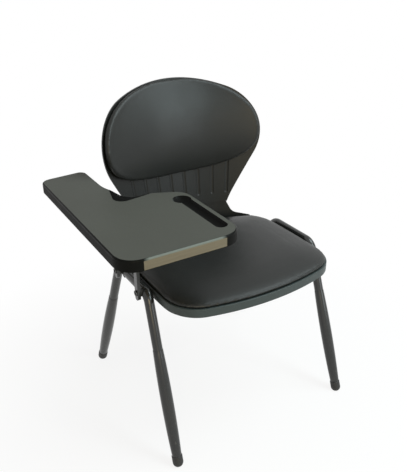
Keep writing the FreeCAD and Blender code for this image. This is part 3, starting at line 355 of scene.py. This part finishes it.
def evened(mesh, values, steps):
    """Values drawn to the mean of the neighbouring points, by one share for each step."""
    ends = np.zeros(len(mesh.edges) * 2, dtype=int)
    mesh.edges.foreach_get("vertices", ends)
    first, second = ends.reshape(-1, 2).T
    count = np.bincount(ends, minlength=len(values))
    columns = values.T.copy()
    for share in steps:
        for column in columns:
            around = np.bincount(first, column[second], len(column))
            around += np.bincount(second, column[first], len(column))
            column += share * (around / count - column)
    return columns.T


def swell(pad, held):
    """Blows the cover up as cloth with the held points pinned; limits and evens out how far it moved."""
    group = pad.vertex_groups.new(name="held")
    for index, share in enumerate(held):
        group.add([index], float(share), "REPLACE")
    before = points(pad.data)
    cloth = pad.modifiers.new("cover", "CLOTH")
    for setting, value in PAD_CLOTH.items():
        setattr(cloth.settings, setting, value)
    cloth.settings.effector_weights.gravity = 0.0
    cloth.settings.vertex_group_mass = "held"
    cloth.point_cache.frame_start = 1
    cloth.point_cache.frame_end = PAD_FRAMES
    for number in range(1, PAD_FRAMES + 1):
        bpy.context.scene.frame_set(number)
    settle(pad)
    bpy.context.scene.frame_set(1)
    moved = points(pad.data) - before
    length = np.linalg.norm(moved, axis=1, keepdims=True)
    limited = moved * np.minimum(1.0, PAD_CAP / np.maximum(length, 1e-9))
    swollen = before + evened(pad.data, limited, PAD_EVENING) * (1.0 - held)[:, None]
    pad.data.vertices.foreach_set("co", swollen.ravel())


def padded(node, carrier, material):
    """Upholstered pad in the place of its solid: remeshed, smoothed, swollen as cloth and refined."""
    pad = linked(node + "_cover", NODES[node].data.copy())
    remesh = pad.modifiers.new("even", "REMESH")
    remesh.mode = "VOXEL"
    remesh.voxel_size = PAD_VOXEL
    settle(pad)
    pad.data.vertices.foreach_set("co", evened(pad.data, points(pad.data), PAD_SMOOTHING).ravel())
    swell(pad, held_shares(pad.data, carrier))
    refine = pad.modifiers.new("refine", "SUBSURF")
    refine.levels = 1
    refine.render_levels = 1
    settle(pad)
    pad.data.shade_smooth()
    pad.data.materials.clear()
    pad.data.materials.append(material)
    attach(pad, "chair")
    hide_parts(node)


def make_camera():
    lens = bpy.data.cameras.new("camera")
    lens.sensor_width = CAMERA_SENSOR
    lens.lens = CAMERA_LENS
    camera = linked("camera", lens)
    camera.location = CAMERA_PLACE
    turn = Matrix.Rotation(math.radians(CAMERA_TURN), 3, "Z")
    tilt = Matrix.Rotation(math.radians(90.0 - CAMERA_TILT), 3, "X")
    roll = Matrix.Rotation(math.radians(CAMERA_ROLL), 3, "Z")
    camera.rotation_euler = (turn @ tilt @ roll).to_euler()
    bpy.context.scene.camera = camera


def seen_share(tree):
    """1 for rays that show the background: from the camera, off gloss and through glass."""
    path = tree.nodes.new("ShaderNodeLightPath")
    total = path.outputs["Is Camera Ray"]
    for name in ("Is Glossy Ray", "Is Transmission Ray"):
        step = tree.nodes.new("ShaderNodeMath")
        step.operation = "MAXIMUM"
        tree.links.new(total, step.inputs[0])
        tree.links.new(path.outputs[name], step.inputs[1])
        total = step.outputs[0]
    return total


def make_floor():
    """White floor: it takes shadows near the object and fades to plain white further out."""
    mesh = bpy.data.meshes.new("floor")
    angles = [math.tau * number / FLOOR_SIDES for number in range(FLOOR_SIDES)]
    ring = [(FLOOR_RADIUS * math.cos(angle), FLOOR_RADIUS * math.sin(angle), 0.0) for angle in angles]
    mesh.from_pydata(ring, [], [range(FLOOR_SIDES)])
    floor = linked("floor", mesh)
    surface = Finish("floor", Specular_IOR_Level=0.0, Roughness=0.9)
    surface.feed("Base Color", surface.tint(surface.noise(3.0), srgb(247, 247, 247), srgb(250, 250, 250)))
    tree = surface.tree
    distance = surface.node("ShaderNodeVectorMath", {0: surface.place}, operation="LENGTH").outputs["Value"]
    far = surface.spread(distance, FLOOR_GLOW, 1.0, FLOOR_NEAR, FLOOR_FAR)
    white = surface.node("ShaderNodeEmission", {"Color": (1.0, 1.0, 1.0, 1.0), "Strength": 1.0})
    mix = surface.node("ShaderNodeMixShader", {0: surface.math("MULTIPLY", far, seen_share(tree))})
    tree.links.new(surface.shader.outputs[0], mix.inputs[1])
    tree.links.new(white.outputs[0], mix.inputs[2])
    tree.links.new(mix.outputs[0], tree.nodes["Material Output"].inputs["Surface"])
    mesh.materials.append(surface.material)


def make_surround():
    world = bpy.data.worlds.new("surround")
    world.use_nodes = True
    tree = world.node_tree
    soft = tree.nodes["Background"]
    soft.inputs["Color"].default_value = (1.0, 1.0, 1.0, 1.0)
    soft.inputs["Strength"].default_value = AMBIENT
    white = tree.nodes.new("ShaderNodeBackground")
    white.inputs["Color"].default_value = (1.0, 1.0, 1.0, 1.0)
    white.inputs["Strength"].default_value = 1.0
    mix = tree.nodes.new("ShaderNodeMixShader")
    tree.links.new(seen_share(tree), mix.inputs[0])
    tree.links.new(soft.outputs[0], mix.inputs[1])
    tree.links.new(white.outputs[0], mix.inputs[2])
    tree.links.new(mix.outputs[0], tree.nodes["World Output"].inputs["Surface"])
    bpy.context.scene.world = world


def softbox(name, place, aim, size, power, colour):
    data = bpy.data.lights.new(name, "AREA")
    data.shape = "RECTANGLE"
    data.size, data.size_y = size
    data.energy = power
    data.color = colour
    lamp = linked(name, data)
    lamp.location = place
    lamp.rotation_euler = (Vector(aim) - Vector(place)).to_track_quat("-Z", "Y").to_euler()


def make_light():
    make_surround()
    for name, settings in SOFTBOXES.items():
        softbox(name, *settings)


def main():
    finishes = make_finishes()
    dress_nodes(finishes)
    padded("seat_pad", "seat_shell", finishes["pad_leatherette"])
    padded("back_pad", "back_shell", finishes["pad_leatherette"])
    make_camera()
    make_floor()
    make_light()
    bpy.context.scene.view_settings.view_transform = "Standard"


main()
